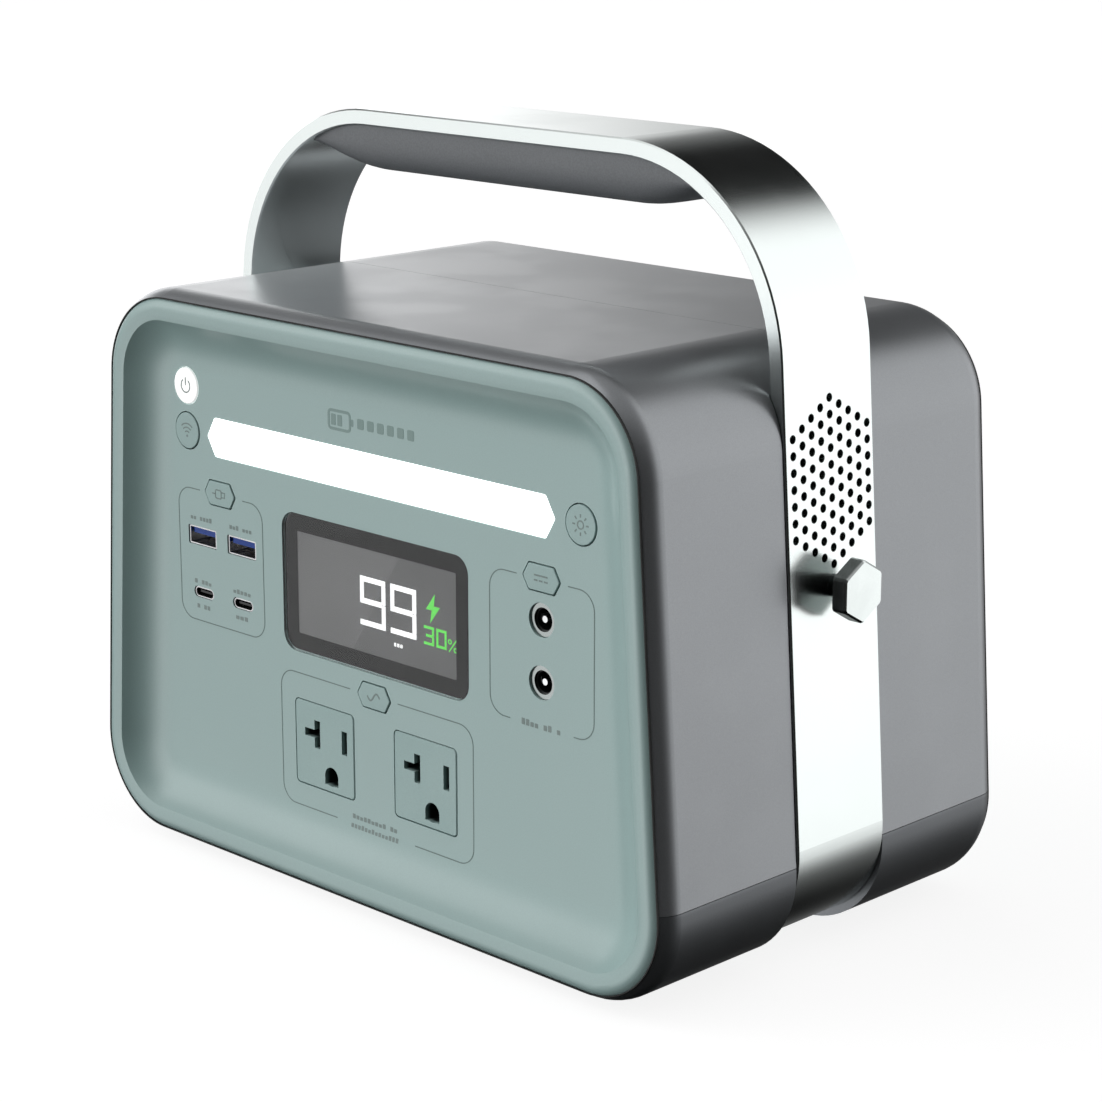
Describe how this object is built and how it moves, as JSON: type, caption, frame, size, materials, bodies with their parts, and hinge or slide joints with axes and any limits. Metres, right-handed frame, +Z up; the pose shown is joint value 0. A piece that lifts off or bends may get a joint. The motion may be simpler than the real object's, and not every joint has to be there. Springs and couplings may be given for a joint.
{
  "type": "power station",
  "caption": "Portable battery power station with a dished front panel of sockets, light bar and display, flared painted body and a broad metal strap handle",
  "frame": {"origin": "middle of the footprint, on the plane the rubber feet stand on", "axes": "+Z up, the front panel faces -Y, the cooling fan is on the +X side"},
  "size_m": [0.2654, 0.1532, 0.2381],
  "materials": {
    "sage_plastic": "satin moulded",
    "grey_paint": "satin painted",
    "anodised": "fine brushed and anodised",
    "grip_rubber": "soft matte",
    "foot_rubber": "matte",
    "lens": "milky, lit from behind",
    "button_plastic": "satin",
    "lamp_white": "small lamps",
    "window_glass": "tinted, polished",
    "lcd_dark": "smooth",
    "lit_segment": "lit",
    "port_steel": "stamped, plated",
    "blue_plastic": "moulded",
    "black_plastic": "moulded",
    "bright_ring": "polished",
    "outlet_plastic": "satin",
    "contact_brass": "stamped",
    "board_green": "solder resist",
    "screw_steel": "zinc plated",
    "cell_wrap": "shrink wrapped steel cans",
    "nickel": "strip",
    "lead_red": "silicone insulation",
    "sink_aluminium": "extruded",
    "ferrite": "pressed",
    "copper_coil": "enamelled windings",
    "can_aluminium": "sleeved cans"
  },
  "bodies": {
    "housing": {"front_bezel": "sage_plastic", "rear_cover": "sage_plastic", "front_shell": "grey_paint", "rear_shell": "grey_paint", "base_tray": "grey_paint", "handle_strap": "anodised", "grip_pad": "grip_rubber", "strap_pegs": "anodised", "peg_nuts": "screw_steel", "vent_meshes": "black_plastic", "button_switches": "black_plastic", "light_bar_lens": "lens", "light_bar_lamps": "lamp_white", "display_window": "window_glass", "lcd_module": "lcd_dark", "lcd_segments": "lit_segment", "usb_a_shells": "port_steel", "usb_a_tongues": "blue_plastic", "usb_c_shells": "port_steel", "usb_c_tongues": "black_plastic", "dc_jack_barrels": "black_plastic", "dc_jack_rings": "bright_ring", "dc_jack_pins": "bright_ring", "outlet_left": "outlet_plastic", "outlet_right": "outlet_plastic", "outlet_contacts": "contact_brass", "front_board": "board_green", "board_screws": "screw_steel", "battery_cells": "cell_wrap", "cell_holders": "black_plastic", "bus_bars": "nickel", "battery_board": "board_green", "battery_leads": "lead_red", "inverter_board": "board_green", "heat_sink": "sink_aluminium", "power_transistors": "black_plastic", "transformer_core": "ferrite", "transformer_coil": "copper_coil", "capacitors": "can_aluminium", "fan_frame": "black_plastic", "fan_screws": "screw_steel", "input_barrel": "black_plastic", "input_ring": "bright_ring", "input_pin": "bright_ring", "flap_pin": "screw_steel", "base_screws": "screw_steel", "strap_screws": "screw_steel", "cover_screws": "screw_steel", "rubber_feet": "foot_rubber"},
    "power_button": {"power_button": "lens"},
    "wireless_button": {"wireless_button": "button_plastic"},
    "lamp_button": {"lamp_button": "button_plastic"},
    "usb_button": {"usb_button": "button_plastic"},
    "dc_button": {"dc_button": "button_plastic"},
    "ac_button": {"ac_button": "button_plastic"},
    "fan": {"fan_rotor": "black_plastic"},
    "input_flap": {"input_flap": "foot_rubber"}
  },
  "joints": [
    {"name": "power_button_press", "type": "slide", "parent": "housing", "child": "power_button", "axis": [0, 1, 0], "range_m": [0, 0.0008], "stiffness_N_per_m": 1500, "springref_m": -0.0004},
    {"name": "wireless_button_press", "type": "slide", "parent": "housing", "child": "wireless_button", "axis": [0, 1, 0], "range_m": [0, 0.0008], "stiffness_N_per_m": 1500, "springref_m": -0.0004},
    {"name": "lamp_button_press", "type": "slide", "parent": "housing", "child": "lamp_button", "axis": [0, 1, 0], "range_m": [0, 0.0008], "stiffness_N_per_m": 1500, "springref_m": -0.0004},
    {"name": "usb_button_press", "type": "slide", "parent": "housing", "child": "usb_button", "axis": [0, 1, 0], "range_m": [0, 0.0008], "stiffness_N_per_m": 1500, "springref_m": -0.0004},
    {"name": "dc_button_press", "type": "slide", "parent": "housing", "child": "dc_button", "axis": [0, 1, 0], "range_m": [0, 0.0008], "stiffness_N_per_m": 1500, "springref_m": -0.0004},
    {"name": "ac_button_press", "type": "slide", "parent": "housing", "child": "ac_button", "axis": [0, 1, 0], "range_m": [0, 0.0008], "stiffness_N_per_m": 1500, "springref_m": -0.0004},
    {"name": "fan_spin", "type": "hinge", "parent": "housing", "child": "fan", "pos_m": [0.10336, 0.0003, 0.1455], "axis": [0.9976, 0, 0.0698], "continuous": true},
    {"name": "flap_hinge", "type": "hinge", "parent": "housing", "child": "input_flap", "pos_m": [0, 0.0705, 0.076], "axis": [1, 0, 0], "range_deg": [0, 150]}
  ]
}
